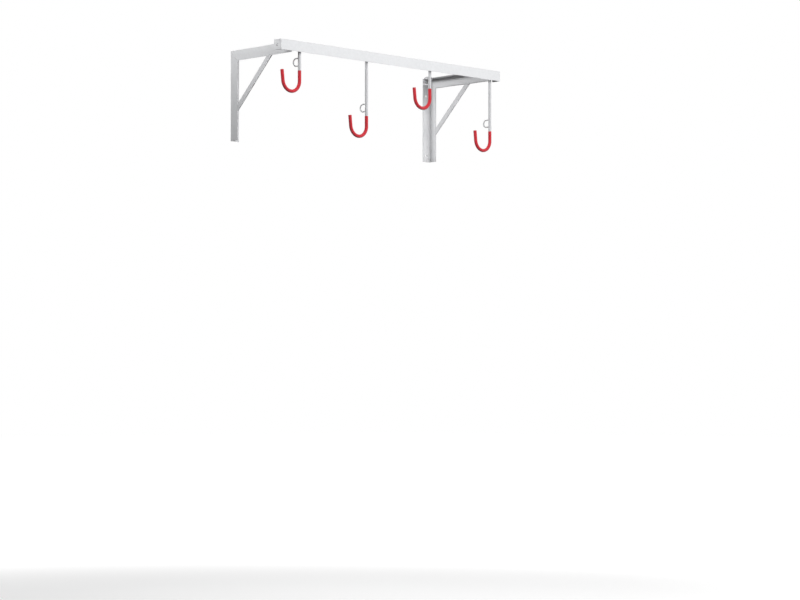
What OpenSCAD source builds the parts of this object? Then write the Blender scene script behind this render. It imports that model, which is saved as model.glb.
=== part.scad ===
// Wall-mounted rack that hangs bicycles by one wheel, each at its own height.
// Two welded brackets of steel angle carry a rail of the same angle, and round-bar hooks hang under the rail.
// The wall face is the plane Y = 0, the rack stands out towards -Y, and Z points up.
// The origin is the middle of the four wall holes, on the wall face.

/* [Steel angle] */
// Width of each leg of the angle, for the rail, the arms and the uprights
leg_w = 40; // [36:1:50]
// Thickness of the legs
leg_t = 4; // [3:0.5:5]
// Radius in the inner corner of the angle
root_r = 6; // [3:0.5:8]
// Radius on the inner edge of each leg's toe
toe_r = 3; // [1:0.5:4]

/* [Rail] */
// Length of the rail
rail_len = 1200; // [1000:10:1600]
// Thickness of the plates that close the ends of the rail
end_plate_t = 4; // [3:0.5:6]
// Hole in each end plate, for the bolt that links two racks
link_hole_d = 9; // [7:0.5:13]
// How much more than the root radius is cut off the corners that pass it
clip_extra = 2; // [1:0.5:4]

/* [Brackets] */
// From the wall to the front face of the rail
reach = 350; // [320:5:420]
// From the top of the rail to the foot of the uprights
drop = 350; // [300:5:450]
// From each end of the rail to the outer face of its bracket
bracket_inset = 55; // [35:5:120]
// Width of the flat bar that braces each bracket
brace_w = 20; // [15:1:30]
// Thickness of the flat bar
brace_t = 4; // [3:0.5:6]
// From the wall, and from the top of the arm, to the middle of the brace's ends
brace_reach = 220; // [140:5:270]

/* [Wall holes] */
// Diameter of the four wall holes
wall_hole_d = 10; // [7:0.5:12]
// From the heel of an angle to its line of holes
hole_gauge = 22; // [20:0.5:26]
// From the top of the rail to the upper wall holes
upper_hole_drop = 75; // [60:5:120]
// From the foot of the uprights to the lower wall holes
lower_hole_rise = 25; // [15:5:60]

/* [Bracket bolts] */
// Diameter of the two coach bolts that clamp the rail to the arms
bolt_d = 8; // [6:1:10]
// Thread that stands out past the nut
thread_past = 3.9; // [2:0.1:10]
// Chamfer at the end of the thread
bolt_chamfer = 1; // [0.5:0.25:1.5]
// Diameter of the domed head
head_d = 20; // [16:0.5:22]
// Height of the domed head
head_h = 4.4; // [3:0.1:6]
// Diameter of the washer
washer_d = 16; // [14:0.5:17]
// Thickness of the washer
washer_t = 1.6; // [1:0.1:2.5]
// Width of the nut across its flats
nut_w = 13; // [12:0.5:16]
// Height of the nut
nut_h = 6.5; // [5:0.5:8]
// Clearance all round a bolt in the holes that it passes
bolt_clear = 0.5; // [0.2:0.1:1]
// Clearance all round a bolt in its washer
washer_clear = 0.2; // [0.1:0.1:0.5]
// Clearance all round a bolt in its nut, where the real threads mesh
nut_clear = 0.1; // [0.05:0.05:0.3]

/* [Hooks] */
// From each bracket to the middle of the shank on its right
hook_gap = 17; // [15:1:40]
// Diameter of the round bar
rod_d = 12; // [8:0.5:14]
// From the underside of the rail's top leg to the bottom of a short hook's bend
short_hook_len = 190; // [180:5:260]
// From the underside of the rail's top leg to the bottom of a long hook's bend
long_hook_len = 330; // [280:5:420]
// Radius of the bend, to the middle of the bar
bend_r = 42; // [30:1:50]
// From the bottom of the bend to the top of the tip
tip_rise = 82; // [70:1:110]
// How far the tip leg leans out, in degrees
tip_lean = 6.5; // [0:0.5:12]
// Radius on the edge of the bar's end
rod_edge = 1; // [0.5:0.25:2]
// Leg length of the round weld at the top of each hook
weld_leg = 4; // [2:0.5:6]

/* [Sleeves] */
// Wall thickness of the plastic sleeve
sleeve_wall = 0.6; // [0.5:0.1:1.5]
// Clearance between a sleeve and its bar
sleeve_clear = 0.1; // [0.05:0.05:0.3]
// From the bottom of the bend to the top of the sleeve on the shank
sleeve_rise = 87; // [75:1:100]
// Thickness of the closed end over the tip
sleeve_cap = 2; // [1:0.5:4]
// Radius on the edge of the closed end
cap_round = 1.5; // [0.5:0.25:2.5]

/* [Lock eyes] */
// Diameter of the wire
eye_wire_d = 5; // [4:0.5:7]
// Height of the eye, between the middles of its two legs
eye_h = 29; // [24:1:36]
// From the surface of the shank to the middle of the wire at the outer end
eye_out = 28; // [22:1:40]
// From the bottom of the bend to the middle of the eye
eye_rise = 120; // [112:1:135]
// Gap that the weld fills between the wire ends and the shank
eye_gap = 0.1; // [0.05:0.05:0.3]

/* [Hidden] */
$fn = 64;

// Cutters reach this far past the faces that they cut
over = 1;
left = -1;
right = 1;
hook_count = 4;

galvanised = [0.78, 0.79, 0.81];
bright_zinc = [0.70, 0.71, 0.73];
red_plastic = [0.76, 0.08, 0.14];

// Heights, counted from the middle of the wall holes
hole_pitch_z = drop - upper_hole_drop - lower_hole_rise;
rail_top = upper_hole_drop + hole_pitch_z / 2;
flange_under = rail_top - leg_t;
foot_z = rail_top - drop;
upright_h = flange_under - foot_z;

// The arm runs from the wall to the back of the rail's front leg
arm_len = reach - leg_t;
bracket_x = rail_len / 2 - bracket_inset;
hole_x = bracket_x - hole_gauge;
bolt_y = -reach + hole_gauge;

corner_clip = root_r + clip_extra;
// A toe keeps at least this much of its square end
toe_flat = 0.5;
toe_round = min(toe_r, leg_t - toe_flat);

// Bolts, counted down from the top of the rail
neck_hole = bolt_d + 2 * bolt_clear;
grip = 2 * leg_t;
nut_top = grip + washer_t;
bolt_len = nut_top + nut_h + thread_past;

rod_r = rod_d / 2;
// The tip leg starts this far inside the bend, and is thinner by the step, so that they join in a clean ring
seam_lap = 0.5;
seam_step = 0.02;
hook_y = -reach + leg_t + (leg_w - leg_t) / 2;
tip_leg = (tip_rise - rod_r - bend_r * (1 - sin(tip_lean))) / cos(tip_lean);
sleeve_in_r = rod_r + sleeve_clear;
sleeve_out_r = sleeve_in_r + sleeve_wall;

// The first shank hangs inside the left bracket, and the last one outside the right bracket
first_hook_x = leg_w - bracket_x + hook_gap;
last_hook_x = bracket_x + hook_gap;
hook_pitch = (last_hook_x - first_hook_x) / (hook_count - 1);
// Shank position of hook 1 to 4, counted from the left
function hook_x(i) = first_hook_x + (i - 1) * hook_pitch;
// The hooks alternate between short and long
function hook_len(i) = i % 2 == 1 ? short_hook_len : long_hook_len;
function bend_bottom(i) = flange_under - hook_len(i);

// Square corner minus its round, for a fillet or for a rounded edge
module corner_piece(r) {
  difference() {
    square(r);
    translate([r, r])
      circle(r);
  }
}

// Section of the angle, heel at the origin, legs along +X and +Y
module angle_section() {
  difference() {
    union() {
      square([leg_w, leg_t]);
      square([leg_t, leg_w]);
      translate([leg_t, leg_t])
        corner_piece(root_r);
    }
    translate([leg_w, leg_t])
      rotate(180)
        corner_piece(toe_round);
    translate([leg_t, leg_w])
      rotate(180)
        corner_piece(toe_round);
  }
}

// Puts what is drawn for the left bracket on the left or on the right
module on_side(side) {
  mirror([side == right ? 1 : 0, 0, 0])
    translate([-bracket_x, 0, flange_under])
      children();
}

// Extrudes a side view, drawn as Y and Z, along X
module side_view(points, width) {
  rotate([90, 0, 90])
    linear_extrude(width)
      polygon(points);
}

// Same, as a cutter that is wider than the angle
module side_cut(points) {
  translate([-over, 0, 0])
    side_view(points, leg_w + 2 * over);
}

// Front leg and top leg, with a square hole for the neck of each bolt
module rail() {
  color(galvanised)
    difference() {
      translate([-rail_len / 2, -reach, rail_top])
        rotate([90, 0, 90])
          linear_extrude(rail_len)
            mirror([0, 1])
              angle_section();
      for (side = [left, right])
        translate([side * hole_x, bolt_y, rail_top - leg_t / 2])
          cube([neck_hole, neck_hole, leg_t + 2 * over], center = true);
    }
}

// Plate inside the end of the rail, with a linking hole at its middle
module end_plate(side) {
  size = leg_w - leg_t;
  x_low = side == left ? -rail_len / 2 : rail_len / 2 - end_plate_t;
  color(galvanised)
    translate([x_low, -reach + leg_t, flange_under])
      difference() {
        side_view([[corner_clip, 0], [size, 0], [size, -size], [0, -size], [0, -corner_clip]], end_plate_t);
        translate([-over, size / 2, -size / 2])
          rotate([0, 90, 0])
            cylinder(h = end_plate_t + 2 * over, d = link_hole_d);
      }
}

// Angle on the wall, mitred at its top, with two wall holes
module upright(side) {
  past = leg_w + over;
  color(galvanised)
    on_side(side)
      difference() {
        translate([0, 0, -upright_h])
          linear_extrude(upright_h)
            mirror([0, 1])
              angle_section();
        side_cut([[over, over], [-past, -past], [-past, over]]);
        for (z = [-upper_hole_drop + leg_t, lower_hole_rise - upright_h])
          translate([hole_gauge, over, z])
            rotate([90, 0, 0])
              cylinder(h = leg_t + 2 * over, d = wall_hole_d);
      }
}

// Angle from the wall to the rail, mitred at the wall and clipped at the rail's root
module arm(side) {
  past = leg_w + over;
  front = -arm_len - over;
  clip = corner_clip + over;
  color(galvanised)
    on_side(side)
      difference() {
        rotate([90, 0, 0])
          linear_extrude(arm_len)
            mirror([0, 1])
              angle_section();
        side_cut([[over, over], [over, -past], [-past, -past]]);
        side_cut([[front, over], [clip - arm_len, over], [front, -clip]]);
        translate([hole_gauge, bolt_y, -leg_t - over])
          cylinder(h = leg_t + 2 * over, d = bolt_d + 2 * bolt_clear);
      }
}

// Flat bar between the lower edge of the arm and the inner edge of the upright
module brace(side) {
  half_cut = brace_w / 2 * sqrt(2);
  near = brace_reach - half_cut;
  far = brace_reach + half_cut;
  color(galvanised)
    on_side(side)
      side_view([[-near, -leg_w], [-far, -leg_w], [-leg_w, -far], [-leg_w, -near]], brace_t);
}

// J of round bar: shank from z_top down to the bend, then the bend and the leaning tip leg with a round edge.
// The shank's axis is the Z axis and the bottom of the real bar's bend is at Z = 0.
module j_bar(r, z_top, tip_extra, edge) {
  bend_z = rod_r + bend_r;
  translate([0, 0, bend_z])
    cylinder(h = z_top - bend_z, r = r);
  translate([-bend_r, 0, bend_z]) {
    rotate([90, 0, 0])
      rotate_extrude(angle = tip_lean - 180)
        translate([bend_r, 0])
          circle(r);
    rotate([0, -tip_lean, 0])
      translate([-bend_r, 0, -seam_lap])
        rotate_extrude()
          difference() {
            square([r - seam_step, seam_lap + tip_leg + tip_extra]);
            translate([r - seam_step, seam_lap + tip_leg + tip_extra])
              rotate(180)
                corner_piece(edge);
          }
  }
}

// Puts what is drawn round one hook's shank in its place
module at_hook(i) {
  translate([hook_x(i), hook_y, bend_bottom(i)])
    children();
}

// Bar of one hook, with the round weld under the rail
module hook_rod(i) {
  color(bright_zinc)
    at_hook(i) {
      j_bar(rod_r, hook_len(i), 0, rod_edge);
      translate([0, 0, hook_len(i) - weld_leg])
        cylinder(h = weld_leg, r1 = rod_r, r2 = rod_r + weld_leg);
    }
}

// Plastic sleeve, open on the shank and closed over the tip
module hook_sleeve(i) {
  color(red_plastic)
    at_hook(i)
      difference() {
        j_bar(sleeve_out_r, sleeve_rise, sleeve_clear + sleeve_cap, cap_round);
        j_bar(sleeve_in_r, sleeve_rise + over, sleeve_clear, rod_edge);
      }
}

// U of wire welded to the wall side of the shank
module lock_eye(i) {
  bow_r = eye_h / 2;
  leg = rod_r + eye_out - bow_r;
  color(bright_zinc)
    at_hook(i)
      translate([0, 0, eye_rise])
        difference() {
          union() {
            for (z = [-bow_r, bow_r])
              translate([0, 0, z])
                rotate([-90, 0, 0])
                  cylinder(h = leg, d = eye_wire_d);
            translate([0, leg, 0])
              rotate([90, 0, 90])
                rotate(-90)
                  rotate_extrude(angle = 180)
                    translate([bow_r, 0])
                      circle(d = eye_wire_d);
          }
          translate([0, 0, -eye_h])
            cylinder(h = 2 * eye_h, r = rod_r + eye_gap);
        }
}

// Puts what is drawn round one bolt's axis, from the top of the rail, at both brackets
module at_bolts() {
  for (side = [left, right])
    translate([side * hole_x, bolt_y, rail_top])
      children();
}

// Domed head, square neck and round shank with a chamfered end
module bracket_bolts() {
  head_r = head_d / 2;
  dome_r = (head_r * head_r + head_h * head_h) / (2 * head_h);
  color(bright_zinc)
    at_bolts() {
      rotate_extrude()
        intersection() {
          translate([0, head_h - dome_r])
            circle(dome_r);
          square([head_r, head_h]);
        }
      translate([-bolt_d / 2, -bolt_d / 2, -leg_t])
        cube([bolt_d, bolt_d, leg_t]);
      translate([0, 0, bolt_chamfer - bolt_len])
        cylinder(h = bolt_len - bolt_chamfer, d = bolt_d);
      translate([0, 0, -bolt_len])
        cylinder(h = bolt_chamfer, d1 = bolt_d - 2 * bolt_chamfer, d2 = bolt_d);
    }
}

// Flat washer under each arm
module bracket_washers() {
  color(bright_zinc)
    at_bolts()
      translate([0, 0, -nut_top])
        difference() {
          cylinder(h = washer_t, d = washer_d);
          translate([0, 0, -over])
            cylinder(h = washer_t + 2 * over, d = bolt_d + 2 * washer_clear);
        }
}

// Hexagon nut, chamfered on both faces
module bracket_nuts() {
  corner_r = nut_w / 2 / cos(30);
  bevel = corner_r - nut_w / 2;
  color(bright_zinc)
    at_bolts()
      translate([0, 0, -nut_top - nut_h])
        difference() {
          intersection() {
            linear_extrude(nut_h)
              circle(corner_r, $fn = 6);
            rotate_extrude()
              polygon([
                [0, 0], [nut_w / 2, 0], [corner_r, bevel / 2], [corner_r, nut_h - bevel / 2],
                [nut_w / 2, nut_h], [0, nut_h]
              ]);
          }
          translate([0, 0, -over])
            cylinder(h = nut_h + 2 * over, d = bolt_d + 2 * nut_clear);
        }
}

rail();
end_plate(left);  // rail_end_plate_left
end_plate(right);  // rail_end_plate_right
upright(left);  // left_upright
arm(left);  // left_arm
brace(left);  // left_brace
upright(right);  // right_upright
arm(right);  // right_arm
brace(right);  // right_brace
hook_rod(1);  // hook_1_rod
hook_rod(2);  // hook_2_rod
hook_rod(3);  // hook_3_rod
hook_rod(4);  // hook_4_rod
hook_sleeve(1);  // hook_1_sleeve
hook_sleeve(2);  // hook_2_sleeve
hook_sleeve(3);  // hook_3_sleeve
hook_sleeve(4);  // hook_4_sleeve
lock_eye(1);  // hook_1_lock_eye
lock_eye(2);  // hook_2_lock_eye
lock_eye(3);  // hook_3_lock_eye
lock_eye(4);  // hook_4_lock_eye
bracket_bolts();
bracket_washers();
bracket_nuts();
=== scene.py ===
"""Wall-mounted bike rack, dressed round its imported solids.

The solids of the rail, the brackets, the hooks and the fasteners stay where they are and get their
finishes here. Added is what steelwork has beyond them: rolled edges that aren't knife-sharp, weld
beads with their ripples, and coach bolts with a real thread. Everything is in metres, in the part's
own frame: the wall is the plane Y = 0, the rack stands out to -Y, and Z points up.
"""

import logging
import math
import random
from dataclasses import dataclass, field
from enum import Enum
from typing import NamedTuple

import bmesh
import bpy
from mathutils import Euler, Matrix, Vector


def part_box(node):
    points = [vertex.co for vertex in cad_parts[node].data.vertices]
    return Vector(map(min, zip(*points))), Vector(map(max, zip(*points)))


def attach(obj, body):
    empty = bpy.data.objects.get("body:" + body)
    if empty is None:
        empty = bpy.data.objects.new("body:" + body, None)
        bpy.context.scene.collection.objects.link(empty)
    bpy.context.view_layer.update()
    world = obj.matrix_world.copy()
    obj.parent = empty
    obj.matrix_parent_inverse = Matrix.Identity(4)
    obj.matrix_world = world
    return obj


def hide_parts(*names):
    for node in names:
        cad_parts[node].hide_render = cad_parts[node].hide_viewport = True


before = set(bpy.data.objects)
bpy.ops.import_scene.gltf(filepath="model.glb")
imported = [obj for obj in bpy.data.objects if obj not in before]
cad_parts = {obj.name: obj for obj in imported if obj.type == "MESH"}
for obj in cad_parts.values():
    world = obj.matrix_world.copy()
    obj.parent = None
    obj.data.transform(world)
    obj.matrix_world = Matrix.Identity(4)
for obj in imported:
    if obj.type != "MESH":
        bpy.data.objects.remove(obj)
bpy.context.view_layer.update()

LOG = logging.getLogger("bike_rack")
MM = 0.001
BODY = "root"
HOOK_COUNT = 4

Triple = tuple[float, float, float]
Span = tuple[float, float]
Socket = bpy.types.NodeSocket
Ring = list[bmesh.types.BMVert]


class Side(Enum):
    """Which bracket, or which end of the rail. The value is the sign of its X."""

    LEFT = -1
    RIGHT = 1

    @property
    def word(self) -> str:
        """The side as node names spell it."""
        return self.name.lower()


class Slot(Enum):
    """The record's material slots, by name."""

    GALVANISED = "galvanised_steel"
    BAR = "bright_bar"
    ZINC = "zinc_plated_fasteners"


class Graph:
    """A material's or a world's node tree, wired by short calls."""

    def __init__(self, tree: bpy.types.NodeTree) -> None:
        """Takes the node tree to fill, and empties it."""
        self.tree = tree
        tree.nodes.clear()

    def add(self, kind: str, **settings: object) -> bpy.types.Node:
        """Adds a node.

        Args:
            kind: Blender's name for the node type.
            settings: Properties of the node, by name.

        Returns:
            The new node.
        """
        node = self.tree.nodes.new(kind)
        for name, value in settings.items():
            setattr(node, name, value)
        return node

    def feed(self, socket: Socket, value: object) -> None:
        """Wires an input socket, or sets it.

        Args:
            socket: The input socket.
            value: Another node's output socket, or a constant.
        """
        if isinstance(value, Socket):
            self.tree.links.new(value, socket)
        else:
            socket.default_value = value

    def set(self, node: bpy.types.Node, **values: object) -> bpy.types.Node:
        """Feeds input sockets, by their name in lower case with underscores.

        Args:
            node: The node whose sockets are fed.
            values: A constant, or another node's output socket, for each input.

        Returns:
            The same node.
        """
        sockets = {}
        for socket in node.inputs:
            sockets.setdefault(socket.name.lower().replace(" ", "_"), socket)
        for name, value in values.items():
            self.feed(sockets[name], value)
        return node

    def math(self, operation: str, first: object, second: object) -> Socket:
        """Adds a Math node.

        Args:
            operation: Blender's name of the operation.
            first: The first value or socket.
            second: The second value or socket.

        Returns:
            The node's output socket.
        """
        node = self.add("ShaderNodeMath", operation=operation)
        self.feed(node.inputs[0], first)
        self.feed(node.inputs[1], second)
        return node.outputs[0]

    def spread(self, value: Socket, low: float, high: float) -> Socket:
        """Maps 0..1 to a range.

        Args:
            value: The socket to map.
            low: The result at 0.
            high: The result at 1.

        Returns:
            The mapped socket.
        """
        node = self.add("ShaderNodeMapRange")
        self.set(node, value=value, to_min=low, to_max=high)
        return node.outputs["Result"]

    def vary(self, pattern: Socket, amount: float) -> Socket:
        """Turns a pattern, 0..1, into a factor from that amount below 1 to as much above it."""
        return self.spread(pattern, 1 - amount, 1 + amount)

    def noise(self, where: Socket, scale: float, detail: float) -> Socket:
        """Adds a noise pattern.

        Args:
            where: The coordinates.
            scale: Lumps per metre.
            detail: Octaves of finer lumps.

        Returns:
            The pattern, about 0..1.
        """
        node = self.add("ShaderNodeTexNoise")
        self.set(node, vector=where, scale=scale, detail=detail)
        return node.outputs["Fac"]

    def place(self) -> Socket:
        """The point on the object, in metres in the part's frame."""
        return self.add("ShaderNodeTexCoord").outputs["Object"]

    def stretch(self, where: Socket, scale: Triple) -> Socket:
        """Scales coordinates by axis.

        Args:
            where: The coordinates.
            scale: The factor along each axis.

        Returns:
            The scaled coordinates.
        """
        node = self.add("ShaderNodeMapping")
        self.set(node, vector=where, scale=scale)
        return node.outputs["Vector"]

    def tint(self, colour: Triple, by: Socket) -> Socket:
        """Multiplies a colour by a pattern.

        Args:
            colour: The colour, linear.
            by: The brightness, about 1.

        Returns:
            The shaded colour.
        """
        node = self.add("ShaderNodeVectorMath", operation="SCALE")
        self.feed(node.inputs[0], colour)
        self.feed(node.inputs["Scale"], by)
        return node.outputs["Vector"]

    def bump(self, height: Socket, depth: float) -> Socket:
        """Adds a bump.

        Args:
            height: The pattern that rises and falls.
            depth: How far it does, in metres.

        Returns:
            The normal socket.
        """
        node = self.add("ShaderNodeBump")
        self.set(node, height=height, distance=depth)
        return node.outputs["Normal"]

    def background_rays(self) -> Socket:
        """Picks out the rays that show the background: camera, glossy and transmission rays.

        Returns:
            1 for those rays and 0 for the rest.
        """
        path = self.add("ShaderNodeLightPath")
        total = self.math("ADD", path.outputs["Is Camera Ray"], path.outputs["Is Glossy Ray"])
        total = self.math("ADD", total, path.outputs["Is Transmission Ray"])
        return self.math("MINIMUM", total, 1.0)

    def surface(self, shader: bpy.types.Node) -> None:
        """Makes a shader's first output the material's surface."""
        out = self.add("ShaderNodeOutputMaterial")
        self.feed(out.inputs["Surface"], shader.outputs[0])

    def principled(self, **values: object) -> None:
        """Makes a Principled shader the surface, with a constant or a socket for each input."""
        shader = self.add("ShaderNodeBsdfPrincipled")
        self.surface(self.set(shader, **values))


@dataclass(frozen=True)
class Finish:
    """What all finishes have: a name, and nodes in a material of their own.

    Attributes:
        name: The material's name.
    """

    name: str

    def material(self) -> bpy.types.Material:
        """Builds the node material.

        Returns:
            The finished material.
        """
        material = bpy.data.materials.new(self.name)
        material.use_nodes = True
        self.wire(Graph(material.node_tree))
        return material

    def wire(self, g: Graph) -> None:
        """Wires the finish's nodes in the material's graph, which each finish does its own way."""
        raise NotImplementedError


@dataclass(frozen=True)
class GalvanisedSteel(Finish):
    """Hot-dip zinc: pale grey, with a faint spangle and clouds where the bath ran off.

    Attributes:
        colour: The zinc's colour, linear.
        flake: Spangle flakes per metre.
        flake_tone: How far a flake's tone departs from the rest.
        flake_relief: A flake's height, as a share of the grain's.
        warp: How far the flakes' edges wander.
        warp_fineness: Lumps of that wandering for each flake.
        warp_detail: Its octaves.
        cloud: Clouds per metre.
        cloud_tone: How far a cloud's tone departs from the rest.
        grain: Grains per metre.
        grain_tone: How far a grain's tone departs from the rest.
        grain_depth: The grain's relief.
        detail: Octaves of the clouds and of the grain.
        roughness: The roughness of the smoothest and of the dullest flake.
        specular: The specular level.
    """

    name: str = "galvanised steel"
    colour: Triple = (0.66, 0.666, 0.678)
    flake: float = 120.0
    flake_tone: float = 0.0225
    flake_relief: float = 0.25
    warp: float = 2.5 * MM
    warp_fineness: float = 1.5
    warp_detail: float = 1.0
    cloud: float = 9.0
    cloud_tone: float = 0.03
    grain: float = 1400.0
    grain_tone: float = 0.04
    grain_depth: float = 0.05 * MM
    detail: float = 3.0
    roughness: Span = (0.46, 0.62)
    specular: float = 0.12

    def wire(self, g: Graph) -> None:
        """Wires the zinc's nodes.

        Args:
            g: The material's graph.
        """
        where = g.place()
        flakes = g.add("ShaderNodeTexVoronoi", feature="F1")
        g.set(flakes, vector=self._ragged(g, where), scale=self.flake)
        shades = g.add("ShaderNodeSeparateColor")
        g.set(shades, color=flakes.outputs["Color"])
        spangle = shades.outputs["Red"]
        clouds = g.noise(where, self.cloud, self.detail)
        grain = g.noise(where, self.grain, self.detail)
        tone = g.math("MULTIPLY", g.vary(spangle, self.flake_tone), g.vary(clouds, self.cloud_tone))
        tone = g.math("MULTIPLY", tone, g.vary(grain, self.grain_tone))
        relief = g.math("ADD", grain, g.math("MULTIPLY", spangle, self.flake_relief))
        g.principled(
            base_color=g.tint(self.colour, tone),
            specular_ior_level=self.specular,
            roughness=g.spread(shades.outputs["Green"], *self.roughness),
            normal=g.bump(relief, self.grain_depth),
        )

    def _ragged(self, g: Graph, where: Socket) -> Socket:
        """Shifts coordinates by a noise, which makes the flakes' edges ragged.

        Args:
            g: The material's graph.
            where: The coordinates.

        Returns:
            The shifted coordinates.
        """
        noise = g.add("ShaderNodeTexNoise")
        g.set(noise, vector=where, scale=self.flake * self.warp_fineness, detail=self.warp_detail)
        shifted = g.add("ShaderNodeVectorMath", operation="MULTIPLY_ADD")
        g.feed(shifted.inputs[0], noise.outputs["Color"])
        g.feed(shifted.inputs[1], (self.warp, self.warp, self.warp))
        g.feed(shifted.inputs[2], where)
        return shifted.outputs[0]


WELD_ZINC = GalvanisedSteel(
    name="galvanised weld",
    colour=(0.62, 0.625, 0.637),
    flake=320.0,
    flake_tone=0.03,
    grain_depth=0.08 * MM,
    roughness=(0.42, 0.60),
)


@dataclass(frozen=True)
class BrightBar(Finish):
    """Zinc-plated round bar, with the faint upright lines of the drawing die.

    Attributes:
        colour: The zinc's colour, linear.
        line: Lines per metre round the bar.
        line_stretch: The scale of the lines along each axis, small along the shanks.
        line_tone: How far a line's tone departs from the rest.
        line_depth: The lines' relief.
        line_detail: Their octaves.
        patch: Patches per metre.
        patch_tone: How far a patch's tone departs from the rest.
        patch_detail: The patches' octaves.
        roughness: The roughness of the smoothest and of the dullest patch.
        metallic: How much of the surface is bare metal.
        specular: The specular level of the rest.
    """

    name: str = "zinc-plated bar"
    colour: Triple = (0.55, 0.555, 0.57)
    line: float = 900.0
    line_stretch: Triple = (1.0, 1.0, 0.04)
    line_tone: float = 0.05
    line_depth: float = 0.015 * MM
    line_detail: float = 2.0
    patch: float = 60.0
    patch_tone: float = 0.04
    patch_detail: float = 3.0
    roughness: Span = (0.28, 0.40)
    metallic: float = 0.22
    specular: float = 0.3

    def wire(self, g: Graph) -> None:
        """Wires the bar's nodes.

        Args:
            g: The material's graph.
        """
        where = g.place()
        lines = g.noise(g.stretch(where, self.line_stretch), self.line, self.line_detail)
        patches = g.noise(where, self.patch, self.patch_detail)
        tone = g.math("MULTIPLY", g.vary(lines, self.line_tone), g.vary(patches, self.patch_tone))
        g.principled(
            base_color=g.tint(self.colour, tone),
            metallic=self.metallic,
            specular_ior_level=self.specular,
            roughness=g.spread(patches, *self.roughness),
            normal=g.bump(lines, self.line_depth),
        )


@dataclass(frozen=True)
class SleevePlastic(Finish):
    """Soft red plastic drawn over the bar, with a slight orange peel and a faint mottle.

    Attributes:
        colour: The plastic's colour, linear.
        peel: Lumps of orange peel per metre.
        peel_depth: Their relief.
        peel_detail: Their octaves.
        mottle: Spots of mottle per metre.
        mottle_tone: How far a spot's tone departs from the rest.
        mottle_detail: The mottle's octaves.
        roughness: The roughness of the smoothest and of the dullest spot.
        specular: The specular level.
    """

    name: str = "red sleeve plastic"
    colour: Triple = (0.50, 0.018, 0.030)
    peel: float = 420.0
    peel_depth: float = 0.03 * MM
    peel_detail: float = 2.0
    mottle: float = 45.0
    mottle_tone: float = 0.07
    mottle_detail: float = 4.0
    roughness: Span = (0.30, 0.46)
    specular: float = 0.45

    def wire(self, g: Graph) -> None:
        """Wires the plastic's nodes.

        Args:
            g: The material's graph.
        """
        where = g.place()
        peel = g.noise(where, self.peel, self.peel_detail)
        mottle = g.noise(where, self.mottle, self.mottle_detail)
        g.principled(
            base_color=g.tint(self.colour, g.vary(mottle, self.mottle_tone)),
            specular_ior_level=self.specular,
            roughness=g.spread(mottle, *self.roughness),
            normal=g.bump(peel, self.peel_depth),
        )


@dataclass(frozen=True)
class ZincPlate(Finish):
    """Bright zinc plate on the bolts, washers and nuts.

    Attributes:
        colour: The plate's colour, linear.
        patch: Patches per metre.
        patch_tone: How far a patch's tone departs from the rest.
        patch_detail: The patches' octaves.
        grain: Grains per metre.
        grain_depth: Their relief.
        grain_detail: Their octaves.
        roughness: The roughness of the smoothest and of the dullest patch.
        metallic: How much of the surface is bare metal.
    """

    name: str = "bright zinc plate"
    colour: Triple = (0.60, 0.61, 0.64)
    patch: float = 220.0
    patch_tone: float = 0.08
    patch_detail: float = 3.0
    grain: float = 3000.0
    grain_depth: float = 0.01 * MM
    grain_detail: float = 2.0
    roughness: Span = (0.26, 0.42)
    metallic: float = 0.85

    def wire(self, g: Graph) -> None:
        """Wires the plate's nodes.

        Args:
            g: The material's graph.
        """
        where = g.place()
        patches = g.noise(where, self.patch, self.patch_detail)
        grain = g.noise(where, self.grain, self.grain_detail)
        g.principled(
            base_color=g.tint(self.colour, g.vary(patches, self.patch_tone)),
            metallic=self.metallic,
            roughness=g.spread(patches, *self.roughness),
            normal=g.bump(grain, self.grain_depth),
        )


@dataclass(frozen=True)
class PaleFloor(Finish):
    """Pale paint on the floor, which turns into the white background away from the rack.

    Attributes:
        paint: Its brightness for the rays that show it.
        bounce: Its brightness for the light that it throws back at the rack.
        glow: Its own light under the rack and far from it, where that makes it white.
        fade: The distances from the origin between which that light grows.
    """

    name: str = "pale floor"
    paint: float = 0.85
    bounce: float = 0.02
    glow: Span = (0.18, 1.0)
    fade: Span = (2.2, 4.6)

    def wire(self, g: Graph) -> None:
        """Wires the paint's nodes.

        Args:
            g: The material's graph.
        """
        seen = g.background_rays()
        matt = g.add("ShaderNodeBsdfDiffuse")
        g.set(matt, color=g.spread(seen, self.bounce, self.paint))
        reach = g.add("ShaderNodeVectorMath", operation="LENGTH")
        g.feed(reach.inputs[0], g.place())
        rise = g.add("ShaderNodeMapRange", interpolation_type="SMOOTHSTEP")
        g.set(rise, value=reach.outputs["Value"], from_min=self.fade[0], from_max=self.fade[1])
        g.set(rise, to_min=self.glow[0], to_max=self.glow[1])
        light = g.add("ShaderNodeEmission")
        g.set(light, strength=g.math("MULTIPLY", seen, rise.outputs["Result"]))
        both = g.add("ShaderNodeAddShader")
        g.feed(both.inputs[0], matt.outputs[0])
        g.feed(both.inputs[1], light.outputs[0])
        g.surface(both)


@dataclass
class Finishes:
    """The rack's materials, one for each finish."""

    steel: bpy.types.Material = field(default_factory=GalvanisedSteel().material)
    weld: bpy.types.Material = field(default_factory=WELD_ZINC.material)
    bar: bpy.types.Material = field(default_factory=BrightBar().material)
    plastic: bpy.types.Material = field(default_factory=SleevePlastic().material)
    zinc: bpy.types.Material = field(default_factory=ZincPlate().material)


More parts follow.
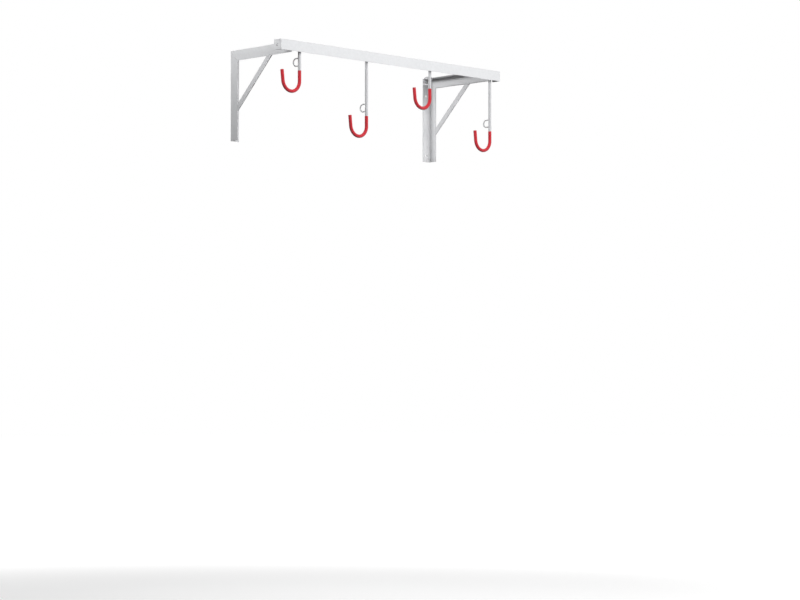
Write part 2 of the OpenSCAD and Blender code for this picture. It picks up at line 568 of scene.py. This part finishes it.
@dataclass(frozen=True)
class SoftEdges:
    """The slight round on rolled, sheared and pressed edges.

    Attributes:
        width: How far each edge is cut back.
        merge: Points nearer than this are one point.
        segments: Faces across each round.
        corner: The angle between two faces above which their edge is rounded.
        face_weight: How far large faces keep their own normal.
    """

    width: float
    merge: float = 0.001 * MM
    segments: int = 2
    corner: float = math.radians(40)
    face_weight: int = 100

    def soften(self, piece: bpy.types.Object) -> None:
        """Rounds the sharp edges of a CAD node.

        Args:
            piece: The node's object.
        """
        weld = piece.modifiers.new("join faces", "WELD")
        weld.merge_threshold = self.merge
        bevel = piece.modifiers.new("worn edges", "BEVEL")
        bevel.width = self.width
        bevel.segments = self.segments
        bevel.limit_method = "ANGLE"
        bevel.angle_limit = self.corner
        normals = piece.modifiers.new("flat faces", "WEIGHTED_NORMAL")
        normals.keep_sharp = False
        normals.weight = self.face_weight


def dress(node: str, material: bpy.types.Material) -> bpy.types.Object:
    """Gives a CAD node its finish.

    Args:
        node: The node's name.
        material: The finish for all its faces.

    Returns:
        The node's object.
    """
    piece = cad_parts[node]
    for slot in piece.material_slots:
        slot.material = material
    return piece


def turns(count: int) -> list[float]:
    """The angles of so many points, evenly spread round a circle."""
    return [2 * math.pi * turn / count for turn in range(count)]


def join_rings(mesh: bmesh.types.BMesh, one: Ring, two: Ring) -> None:
    """Adds the faces between two rings of as many points.

    Args:
        mesh: The mesh that holds the rings.
        one: The first ring.
        two: The ring after it.
    """
    for turn in range(len(one)):
        after = (turn + 1) % len(one)
        mesh.faces.new((one[turn], one[after], two[after], two[turn]))


def mesh_object(name: str, mesh: bmesh.types.BMesh, material: bpy.types.Material) -> bpy.types.Object:
    """Puts a finished mesh in the scene.

    Args:
        name: The object's name.
        mesh: Its mesh, in the part's frame.
        material: Its finish.

    Returns:
        The new object.
    """
    data = bpy.data.meshes.new(name)
    mesh.to_mesh(data)
    mesh.free()
    data.materials.append(material)
    thing = bpy.data.objects.new(name, data)
    bpy.context.scene.collection.objects.link(thing)
    return thing


def new_piece(
    name: str, mesh: bmesh.types.BMesh, material: bpy.types.Material
) -> bpy.types.Object:
    """Makes a smooth piece of a finished mesh, and lets it ride on the rack.

    Args:
        name: The piece's name.
        mesh: Its mesh, in the part's frame.
        material: Its finish.

    Returns:
        The new piece.
    """
    bmesh.ops.recalc_face_normals(mesh, faces=mesh.faces)
    for face in mesh.faces:
        face.smooth = True
    piece = mesh_object(name, mesh, material)
    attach(piece, BODY)
    return piece


class Stop(NamedTuple):
    """A point on a seam, with the directions across the bead and out of it."""

    point: Vector
    across: Vector
    out: Vector

    def towards(self, other: "Stop", share: float) -> "Stop":
        """A stop part of the way to the next one.

        Args:
            other: The next stop.
            share: How much of the way, 0..1.

        Returns:
            The stop between them.
        """
        return Stop(
            self.point.lerp(other.point, share),
            self.across.lerp(other.across, share).normalized(),
            self.out.lerp(other.out, share).normalized(),
        )


@dataclass(frozen=True)
class Section:
    """A bead's section, in metres or as shares of the weld's leg.

    Attributes:
        half_width: Half the width.
        rise: How far it stands above the seam.
        sink: How far it reaches below the seam.
    """

    half_width: float
    rise: float
    sink: float

    def of_leg(self, leg: float) -> "Section":
        """The section in metres, from one in shares of the leg."""
        return Section(self.half_width * leg, self.rise * leg, self.sink * leg)


@dataclass
class WeldBead:
    """A run of weld: a crowned section swept along a seam, with the ripples of its dabs.

    Attributes:
        stops: The seam's corners, or points round it.
        section: The bead's section.
        seed: The seed of its unevenness.
        closed: Whether the seam runs back to its first stop.
        dab: The length of a dab, about.
        notch: How far the bead drops from the start of a dab to its end, as a share of its rise.
        crescent: How far the middle of a ripple lies ahead of its ends, in dabs.
        swell: The smallest and the largest size of a dab.
        taper: The power by which the width shrinks at the ends, less than 1 for blunt ends.
        tip: The bead's ends are as full as they would be this far in.
        around: Points round the section.
        step: The distance between sections, about.
    """

    stops: list[Stop]
    section: Section
    seed: int
    closed: bool = False
    dab: float = 1.9 * MM
    notch: float = 0.34
    crescent: float = 0.28
    swell: Span = (0.9, 1.1)
    taper: float = 0.6
    tip: float = 0.02 * MM
    around: int = 16
    step: float = 0.35 * MM

    def add_to(self, mesh: bmesh.types.BMesh) -> None:
        """Adds the bead to a mesh.

        Args:
            mesh: The mesh that takes it.
        """
        rows, length = self._rows()
        dabs = max(2, round(length / self.dab))
        chance = random.Random(self.seed)
        sizes = [chance.uniform(*self.swell) for _ in range(dabs)]
        rings = []
        for stop, run in rows:
            outline = self._outline(stop, run / length * dabs, self._fullness(run, length), sizes)
            rings.append([mesh.verts.new(point) for point in outline])
        for one, two in zip(rings, rings[1:]):
            join_rings(mesh, one, two)
        if self.closed:
            join_rings(mesh, rings[-1], rings[0])
        else:
            mesh.faces.new(rings[0])
            mesh.faces.new(list(reversed(rings[-1])))

    def _rows(self) -> tuple[list[tuple[Stop, float]], float]:
        """Walks the seam in short steps.

        Returns:
            The stop and the distance run at each step, and the seam's length.
        """
        stops = list(self.stops)
        if self.closed:
            stops.append(stops[0])
        rows = []
        run = 0.0
        for one, two in zip(stops, stops[1:]):
            gap = (two.point - one.point).length
            steps = max(1, round(gap / self.step))
            for count in range(steps):
                share = count / steps
                rows.append((one.towards(two, share), run + gap * share))
            run += gap
        if not self.closed:
            rows.append((stops[-1], run))
        return rows, run

    def _fullness(self, run: float, length: float) -> float:
        """How full the bead is: it rounds off within its own width of an open end.

        Args:
            run: The distance run.
            length: The seam's length.

        Returns:
            The fullness, up to 1.
        """
        if self.closed:
            return 1.0
        near = max(self.tip, min(run, length - run)) / (2.0 * self.section.half_width)
        return math.sqrt(1.0 - (1.0 - min(1.0, near)) ** 2)

    def _outline(self, stop: Stop, phase: float, fullness: float, sizes: list[float]) -> list[Vector]:
        """The points round the bead at one place on the seam.

        Args:
            stop: The place.
            phase: The distance run, in dabs.
            fullness: How full the bead is there.
            sizes: The size of each dab.

        Returns:
            The points.
        """
        points = []
        for angle in turns(self.around):
            side = math.cos(angle)
            high = math.sin(angle)
            lag = phase + self.crescent * side * side
            dab = math.floor(lag)
            size = sizes[dab % len(sizes)]
            ripple = 1.0 - self.notch * (lag - dab) ** 2
            crown = self.section.rise * (1.0 - side * side) * ripple
            lift = crown if high > 0 else self.section.sink * high
            reach = self.section.half_width * side * size * fullness ** self.taper
            points.append(stop.point + stop.across * reach + stop.out * (lift * size * fullness))
        return points


def straight_bead(start: Vector, end: Vector, out: Vector, section: Section, seed: int) -> WeldBead:
    """A bead along a straight butt seam, in a flat face with the normal out."""
    across = (end - start).cross(out).normalized()
    return WeldBead([Stop(start, across, out), Stop(end, across, out)], section, seed)


@dataclass(frozen=True)
class FilletWeld:
    """A weld in the inner corner of two flat faces.

    Attributes:
        leg: How far it reaches along each face.
        shape: Its section, in shares of the leg.
        stand: How far the section's middle stands off the corner, in shares of the leg.
    """

    leg: float
    shape: Section = Section(half_width=math.sqrt(0.5), rise=0.16, sink=0.6)
    stand: float = 0.9 * math.sqrt(0.5)

    def bead(self, ends: tuple[Vector, Vector], walls: tuple[Vector, Vector], seed: int) -> WeldBead:
        """The bead along one corner.

        Args:
            ends: The two ends of the corner line.
            walls: The two faces' normals.
            seed: The seed of its unevenness.

        Returns:
            The bead.
        """
        out = (walls[0] + walls[1]).normalized()
        across = (walls[0] - walls[1]).normalized()
        shift = out * (self.leg * self.stand)
        stops = [Stop(end + shift, across, out) for end in ends]
        return WeldBead(stops, self.shape.of_leg(self.leg), seed)


@dataclass(frozen=True)
class RoundWeld:
    """A weld round a bar where it meets a flat face.

    Attributes:
        leg: How far it reaches along the bar and the face.
        shape: Its section, in shares of the leg.
        steps: Stops round the bar.
    """

    leg: float
    shape: Section = Section(half_width=0.82, rise=0.15, sink=0.4)
    steps: int = 48

    def bead(self, centre: Vector, axis: Vector, radius: float, seed: int) -> WeldBead:
        """The bead round one bar.

        Args:
            centre: Where the bar's axis meets the face.
            axis: The direction in which the bar leaves the face.
            radius: The bar's radius.
            seed: The seed of its unevenness.

        Returns:
            The bead.
        """
        first = axis.orthogonal().normalized()
        second = axis.cross(first).normalized()
        half_leg = self.leg / 2
        stops = []
        for angle in turns(self.steps):
            away = first * math.cos(angle) + second * math.sin(angle)
            point = centre + away * (radius + half_leg) + axis * half_leg
            stops.append(Stop(point, (away - axis).normalized(), (away + axis).normalized()))
        return WeldBead(stops, self.shape.of_leg(self.leg), seed, closed=True)


@dataclass(frozen=True)
class SaddleWeld:
    """A weld round a wire that runs to +Y from an upright round bar.

    Attributes:
        leg: How far it reaches along the wire and the bar.
        shape: Its section, in shares of the leg.
        lift: How far the section's middle lies off the bar, in shares of the leg.
        dab: The length of a dab, about.
        steps: Stops round the wire.
    """

    leg: float
    shape: Section = Section(half_width=0.8, rise=0.2, sink=0.5)
    lift: float = 0.3
    dab: float = 1.4 * MM
    steps: int = 40

    def bead(self, centre: Vector, bar_radius: float, wire_radius: float, seed: int) -> WeldBead:
        """The bead round one wire.

        Args:
            centre: Where the wire's axis meets the bar's axis.
            bar_radius: The bar's radius.
            wire_radius: The wire's radius.
            seed: The seed of its unevenness.

        Returns:
            The bead.
        """
        stops = []
        for angle in turns(self.steps):
            away = Vector((math.cos(angle), 0, math.sin(angle)))
            side = away * (wire_radius + self.leg / 2)
            depth = math.sqrt(bar_radius ** 2 - side.x ** 2)
            bar_out = Vector((side.x, depth, 0)) / bar_radius
            point = centre + side + Vector((0, depth + self.leg * self.lift, 0))
            stops.append(Stop(point, (away - bar_out).normalized(), (away + bar_out).normalized()))
        return WeldBead(stops, self.shape.of_leg(self.leg), seed, closed=True, dab=self.dab)


@dataclass(frozen=True)
class Angle:
    """The rolled steel angle that the rack is welded from.

    Attributes:
        leg: The width of each leg, outside.
        thick: The legs' thickness.
        root: The radius of the inner corner.
        edges: The round on its sheared edges, and on the flat bar and plate used with it.
    """

    leg: float = 40 * MM
    thick: float = 4 * MM
    root: float = 6 * MM
    edges: SoftEdges = SoftEdges(0.35 * MM)


@dataclass
class Rail:
    """The rail across the front, closed by a small plate at each end.

    Attributes:
        finishes: The materials.
        angle: The rail's section.
        clip: The plates' clipped corner, where the angle's root is.
        bead_short: How far the beads stop short of the plate's free edges.
        weld: The weld along a plate's two edges.
        top_seed: The seed of the bead under the top leg.
        front_seed: The seed of the bead behind the front leg.
    """

    finishes: Finishes
    angle: Angle = Angle()
    clip: float = 8 * MM
    bead_short: float = 4 * MM
    weld: FilletWeld = FilletWeld(3 * MM)
    top_seed: int = 11
    front_seed: int = 12

    def build(self) -> list[bpy.types.Object]:
        """Dresses the rail and its plates, and makes the piece of each plate's welds."""
        self.angle.edges.soften(dress("rail", self.finishes.steel))
        return [self._close(side) for side in Side]

    def _close(self, side: Side) -> bpy.types.Object:
        """Dresses one end plate and makes its welds.

        Args:
            side: Which end of the rail.

        Returns:
            The weld piece.
        """
        node = f"rail_end_plate_{side.word}"
        self.angle.edges.soften(dress(node, self.finishes.steel))
        low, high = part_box(node)
        inner = low.x if side is Side.RIGHT else high.x
        inward = Vector((-side.value, 0, 0))
        top = (
            Vector((inner, low.y + self.clip, high.z)),
            Vector((inner, high.y - self.bead_short, high.z)),
        )
        front = (
            Vector((inner, low.y, high.z - self.clip)),
            Vector((inner, low.y, low.z + self.bead_short)),
        )
        mesh = bmesh.new()
        self.weld.bead(top, (inward, Vector((0, 0, -1))), self.top_seed).add_to(mesh)
        self.weld.bead(front, (inward, Vector((0, 1, 0))), self.front_seed).add_to(mesh)
        return new_piece(f"end_plate_welds_{side.word}", mesh, self.finishes.weld)


@dataclass
class Bracket:
    """One welded bracket: upright, arm and brace.

    Attributes:
        side: Which bracket.
        finishes: The materials.
        angle: The section of the upright and the arm.
        brace_width: The width of the brace's flat bar.
        seam: The section of the butt seams' beads.
        brace_short: How far a bead stops short of the ends of a brace's seam.
        mitre_short: How far a bead stops short of the mitre's outer and inner corner.
    """

    side: Side
    finishes: Finishes
    angle: Angle = Angle()
    brace_width: float = 20 * MM
    seam: Section = Section(half_width=2.9 * MM, rise=0.8 * MM, sink=0.4 * MM)
    brace_short: float = 0.5 * MM
    mitre_short: float = 1.5 * MM

    def build(self) -> bpy.types.Object:
        """Dresses the bracket's three bars and welds them.

        Returns:
            The weld piece.
        """
        word = self.side.word
        for bar in ("upright", "arm", "brace"):
            self.angle.edges.soften(dress(f"{word}_{bar}", self.finishes.steel))
        mesh = bmesh.new()
        for seed, (start, end, out) in enumerate(self._seams()):
            straight_bead(start, end, out, self.seam, seed).add_to(mesh)
        return new_piece(f"{word}_bracket_welds", mesh, self.finishes.weld)

    def _seams(self) -> list[tuple[Vector, Vector, Vector]]:
        """Lays out the bracket's seams, on both faces of the web.

        Returns:
            The two ends of each seam and the normal of its face.
        """
        low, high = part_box(f"{self.side.word}_upright")
        brace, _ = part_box(f"{self.side.word}_brace")
        sign = self.side.value
        outer = low.x if self.side is Side.LEFT else high.x
        inner = outer - sign * self.angle.thick
        front = low.y
        top = high.z
        under = top - self.angle.leg
        near = self.brace_short
        far = self.brace_width * math.sqrt(2) - self.brace_short
        seams = []
        for face, way in ((outer, sign), (inner, -sign)):
            out = Vector((way, 0, 0))
            seams.append((Vector((face, brace.y + near, under)), Vector((face, brace.y + far, under)), out))
            seams.append((Vector((face, front, brace.z + near)), Vector((face, front, brace.z + far)), out))
        short = self.mitre_short
        root = self.angle.thick + self.angle.root
        for face, way, start in ((outer, sign, short), (inner, -sign, root)):
            wall_end = Vector((face, -start, top - start))
            front_end = Vector((face, front + short, under + short))
            seams.append((wall_end, front_end, Vector((way, 0, 0))))
        return seams


@dataclass
class Hook:
    """One hook: bar, plastic sleeve and the wire eye for a lock.

    Attributes:
        number: The hook's number, from the left.
        finishes: The materials.
        bar_radius: The bar's radius.
        wire_radius: The eye wire's radius.
        top_weld: The weld round the bar's top.
        eye_weld: The weld round each end of the eye.
        top_seed: The seed of the top's bead, before the hook's number is added.
        eye_seed: The seed of the eye's beads, likewise.
    """

    number: int
    finishes: Finishes
    bar_radius: float = 6 * MM
    wire_radius: float = 2.5 * MM
    top_weld: RoundWeld = RoundWeld(4 * MM)
    eye_weld: SaddleWeld = SaddleWeld(1.6 * MM)
    top_seed: int = 30
    eye_seed: int = 40

    def build(self) -> bpy.types.Object:
        """Dresses the hook's pieces and makes its welds.

        Returns:
            The weld piece.
        """
        rod = f"hook_{self.number}_rod"
        eye = f"hook_{self.number}_lock_eye"
        dress(rod, self.finishes.bar)
        dress(eye, self.finishes.bar)
        dress(f"hook_{self.number}_sleeve", self.finishes.plastic)
        low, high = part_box(rod)
        eye_low, eye_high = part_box(eye)
        shank = Vector(((eye_low.x + eye_high.x) / 2, (low.y + high.y) / 2, high.z))
        down = Vector((0, 0, -1))
        mesh = bmesh.new()
        self.top_weld.bead(shank, down, self.bar_radius, self.top_seed + self.number).add_to(mesh)
        for height in (eye_low.z + self.wire_radius, eye_high.z - self.wire_radius):
            foot = Vector((shank.x, shank.y, height))
            seed = self.eye_seed + self.number
            self.eye_weld.bead(foot, self.bar_radius, self.wire_radius, seed).add_to(mesh)
        return new_piece(f"hook_{self.number}_welds", mesh, self.finishes.weld)


@dataclass
class CoachBolts:
    """The two coach bolts, with their washers and nuts, that clamp the rail to the arms.

    Attributes:
        finishes: The materials.
        radius: The shank's radius.
        length: From under the head to the tail.
        thread_length: How much of that is thread.
        pitch: The thread's pitch.
        thread_depth: The depth of its groove.
        flank: The steepness of the groove's flanks, more than 1 for flats on crest and root.
        crest: How much of the groove is cut off at the crest.
        chamfer: The chamfer at the tail.
        neck: The height of the square neck.
        neck_corner: How far its rounded corners reach, in shares of the shank's radius.
        neck_ease: The height over which it runs into the shank.
        head_radius: The head's radius.
        head_height: The dome's height.
        dome_short: How far inside the head's radius the dome ends.
        rim_height: The height of the head's widest point, as a share of the dome's end.
        under_short: How far inside the head's radius its flat underside ends.
        edges: The round on the washers and the nuts.
        around: Points round the bolt.
        dome_rings: Rings of points on the dome.
        per_pitch: Rings for each turn of the thread.
    """

    finishes: Finishes
    radius: float = 4 * MM
    length: float = 20 * MM
    thread_length: float = 11 * MM
    pitch: float = 1.25 * MM
    thread_depth: float = 0.62 * MM
    flank: float = 1.25
    crest: float = 0.12
    chamfer: float = 1 * MM
    neck: float = 4 * MM
    neck_corner: float = 1.34
    neck_ease: float = 0.6 * MM
    head_radius: float = 10 * MM
    head_height: float = 4.4 * MM
    dome_short: float = 0.25 * MM
    rim_height: float = 0.45
    under_short: float = 0.15 * MM
    edges: SoftEdges = SoftEdges(0.15 * MM)
    around: int = 56
    dome_rings: int = 14
    per_pitch: int = 10

    def build(self) -> bpy.types.Object:
        """Builds both bolts in place of their plain solids, and dresses the washers and nuts.

        Returns:
            The bolts' piece.
        """
        low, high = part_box("bracket_bolts")
        middle_y = (low.y + high.y) / 2
        rail_top = high.z - self.head_height
        mesh = bmesh.new()
        for x in (low.x + self.head_radius, high.x - self.head_radius):
            self._bolt(mesh, Vector((x, middle_y, rail_top)))
        bolts = new_piece("coach_bolts", mesh, self.finishes.zinc)
        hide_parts("bracket_bolts")
        for node in ("bracket_washers", "bracket_nuts"):
            self.edges.soften(dress(node, self.finishes.zinc))
        return bolts

    def _bolt(self, mesh: bmesh.types.BMesh, seat: Vector) -> None:
        """Adds one bolt.

        Args:
            mesh: The mesh that takes it.
            seat: The middle of the head's flat underside.
        """
        rings = [self._ring(mesh, seat, z, [r] * self.around) for r, z in self._head_outline()]
        square = [self._square(angle) for angle in turns(self.around)]
        rings.append(self._ring(mesh, seat, 0.0, square))
        rings.append(self._ring(mesh, seat, -self.neck + self.neck_ease, square))
        rings.append(self._ring(mesh, seat, -self.neck, [self.radius] * self.around))
        start = self.length - self.thread_length
        rows = math.ceil(self.thread_length / self.pitch * self.per_pitch)
        for row in range(rows + 1):
            depth = start + self.thread_length * row / rows
            rings.append(self._ring(mesh, seat, -depth, self._thread_row(depth, start)))
        for one, two in zip(rings, rings[1:]):
            join_rings(mesh, one, two)
        crown = mesh.verts.new(seat + Vector((0, 0, self.head_height)))
        tail = mesh.verts.new(seat + Vector((0, 0, -self.length)))
        for turn in range(self.around):
            after = (turn + 1) % self.around
            mesh.faces.new((crown, rings[0][turn], rings[0][after]))
            mesh.faces.new((tail, rings[-1][after], rings[-1][turn]))

    def _head_outline(self) -> list[tuple[float, float]]:
        """The head's outline, from the middle of the dome to the flat underside.

        Returns:
            Radius and height of each point.
        """
        dome = (self.head_radius ** 2 + self.head_height ** 2) / (2 * self.head_height)
        reach = self.head_radius - self.dome_short
        points = []
        for count in range(1, self.dome_rings + 1):
            r = reach * count / self.dome_rings
            points.append((r, self.head_height - dome + math.sqrt(dome ** 2 - r ** 2)))
        dome_end = points[-1][1]
        points.append((self.head_radius, dome_end * self.rim_height))
        points.append((self.head_radius - self.under_short, 0.0))
        return points

    def _square(self, angle: float) -> float:
        """The square neck's reach from the axis at an angle, with its corners rounded."""
        reach = self.radius / max(abs(math.cos(angle)), abs(math.sin(angle)))
        return min(reach, self.radius * self.neck_corner)

    def _thread_row(self, depth: float, start: float) -> list[float]:
        """The radii round the bolt at one depth of the thread.

        Args:
            depth: The distance below the head.
            start: Where the thread starts.

        Returns:
            The radius at each step round the bolt.
        """
        lead_in = min(1.0, max(0.0, (depth - start) / self.pitch))
        limit = self.radius - self.chamfer + max(0.0, self.length - depth)
        radii = []
        for turn in range(self.around):
            phase = (depth / self.pitch + turn / self.around) % 1.0
            groove = 1.0 - abs(2.0 * phase - 1.0)
            groove = min(1.0, max(0.0, groove * self.flank - self.crest))
            radii.append(min(limit, self.radius - self.thread_depth * groove * lead_in))
        return radii

    def _ring(self, mesh: bmesh.types.BMesh, seat: Vector, z: float, radii: list[float]) -> Ring:
        """Adds one ring of points.

        Args:
            mesh: The mesh that takes them.
            seat: The middle of the head's flat underside.
            z: The ring's height over it.
            radii: The radius at each step round the bolt.

        Returns:
            The new points.
        """
        points = []
        for angle, r in zip(turns(self.around), radii):
            points.append(mesh.verts.new(seat + Vector((r * math.cos(angle), r * math.sin(angle), z))))
        return points


@dataclass(frozen=True)
class Softbox:
    """A large soft lamp, which lights the rack and shows in nothing.

    Attributes:
        name: The lamp's name.
        place: Where it stands.
        aim: The point that it faces.
        width: Its width.
        height: Its height.
        power: Its power in watts.
    """

    name: str
    place: Triple
    aim: Triple
    width: float
    height: float
    power: float

    def build(self) -> None:
        """Makes the lamp."""
        data = bpy.data.lights.new(self.name, "AREA")
        data.shape = "RECTANGLE"
        data.size = self.width
        data.size_y = self.height
        data.energy = self.power
        lamp = bpy.data.objects.new(self.name, data)
        lamp.location = self.place
        way = Vector(self.aim) - Vector(self.place)
        lamp.rotation_euler = way.to_track_quat("-Z", "Y").to_euler()
        lamp.visible_camera = False
        lamp.visible_glossy = False
        bpy.context.scene.collection.objects.link(lamp)


@dataclass
class Studio:
    """Pale floor, soft lamps, white background and the camera.

    Attributes:
        floor_z: The floor's height.
        floor_half: Half its length and width.
        floor_finish: Its paint.
        ambient: The even light from all round.
        camera_place: Where the camera stands.
        camera_yaw: How far it turns to the right of +Y, in degrees.
        camera_pitch: How far it looks up, in degrees.
        camera_clip: The nearest and the farthest distance that it sees.
        focal_pixels: Its focal length, in pixels of the image.
        shift_pixels: How far the image is shifted up, in pixels.
        image_width: The image's width in pixels.
        sensor: The sensor's width in millimetres.
        lamps: The lamps.
    """

    floor_z: float = -1.95
    floor_half: float = 40.0
    floor_finish: PaleFloor = PaleFloor()
    ambient: float = 0.01
    camera_place: Triple = (-6.27475, -6.66007, -1.16330)
    camera_yaw: float = 44.944
    camera_pitch: float = 1.387
    camera_clip: Span = (0.05, 200.0)
    focal_pixels: float = 2290.35
    shift_pixels: float = 50.0
    image_width: float = 800.0
    sensor: float = 36.0
    lamps: tuple[Softbox, ...] = (
        Softbox("front softbox", (-0.5, -3.8, 0.75), (0.0, -0.3, 0.1), 3.0, 1.2, 110.0),
        Softbox("front right softbox", (1.5, -3.6, 1.8), (0.0, -0.3, 0.1), 3.0, 2.0, 97.0),
        Softbox("left bracket lamp", (-0.98, -0.18, 0.50), (-0.56, -0.16, 0.14), 0.4, 0.25, 2.4),
        Softbox("right bracket lamp", (-0.30, 0.35, 0.50), (0.56, -0.15, 0.18), 0.5, 0.3, 6.0),
        Softbox("rear left softbox", (-2.4, 1.6, 0.6), (0.5, -0.1, 0.15), 1.0, 0.8, 26.0),
        Softbox("rear right softbox", (3.0, 2.8, 1.5), (0.0, -0.1, 0.1), 2.4, 1.8, 100.0),
        Softbox("top softbox", (0.0, -0.4, 3.6), (0.0, -0.2, 0.0), 3.0, 3.0, 24.0),
    )

    def build(self) -> None:
        """Sets up floor, lamps, world, view and camera."""
        self._floor()
        self._world()
        for lamp in self.lamps:
            lamp.build()
        self._camera()
        bpy.context.scene.view_settings.view_transform = "Standard"

    def _floor(self) -> None:
        """Makes the plain pale floor, which keeps the object's shadow."""
        mesh = bmesh.new()
        half = self.floor_half
        corners = [(-half, -half), (half, -half), (half, half), (-half, half)]
        mesh.faces.new([mesh.verts.new((x, y, self.floor_z)) for x, y in corners])
        mesh_object("floor", mesh, self.floor_finish.material())

    def _world(self) -> None:
        """Makes the even light from all round and the white background."""
        world = bpy.data.worlds.new("studio")
        bpy.context.scene.world = world
        world.use_nodes = True
        g = Graph(world.node_tree)
        strength = g.spread(g.background_rays(), self.ambient, 1.0)
        glow = g.add("ShaderNodeBackground")
        g.set(glow, color=(1.0, 1.0, 1.0, 1.0), strength=strength)
        out = g.add("ShaderNodeOutputWorld")
        g.feed(out.inputs["Surface"], glow.outputs[0])

    def _camera(self) -> None:
        """Makes the camera that frames the rack as the photograph does."""
        data = bpy.data.cameras.new("camera")
        data.sensor_width = self.sensor
        data.lens = self.focal_pixels * self.sensor / self.image_width
        data.shift_y = self.shift_pixels / self.image_width
        data.clip_start = self.camera_clip[0]
        data.clip_end = self.camera_clip[1]
        camera = bpy.data.objects.new("camera", data)
        camera.location = self.camera_place
        # An unturned camera looks straight down, and 90 degrees bring it level.
        tilt = math.radians(90 + self.camera_pitch)
        camera.rotation_euler = Euler((tilt, 0.0, math.radians(-self.camera_yaw)), "XYZ")
        bpy.context.scene.collection.objects.link(camera)
        bpy.context.scene.camera = camera


def main() -> None:
    """Builds the rack's sub-assemblies in order, then the studio."""
    logging.basicConfig(level=logging.INFO, format="%(name)s: %(message)s")
    finishes = Finishes()
    for piece in Rail(finishes).build():
        LOG.info("rail: %s", piece.name)
    for side in Side:
        LOG.info("bracket: %s", Bracket(side, finishes).build().name)
    for number in range(1, HOOK_COUNT + 1):
        LOG.info("hook: %s", Hook(number, finishes).build().name)
    LOG.info("fasteners: %s", CoachBolts(finishes).build().name)
    Studio().build()
    LOG.info("studio: floor, lamps and camera")


if __name__ == "__main__":
    main()
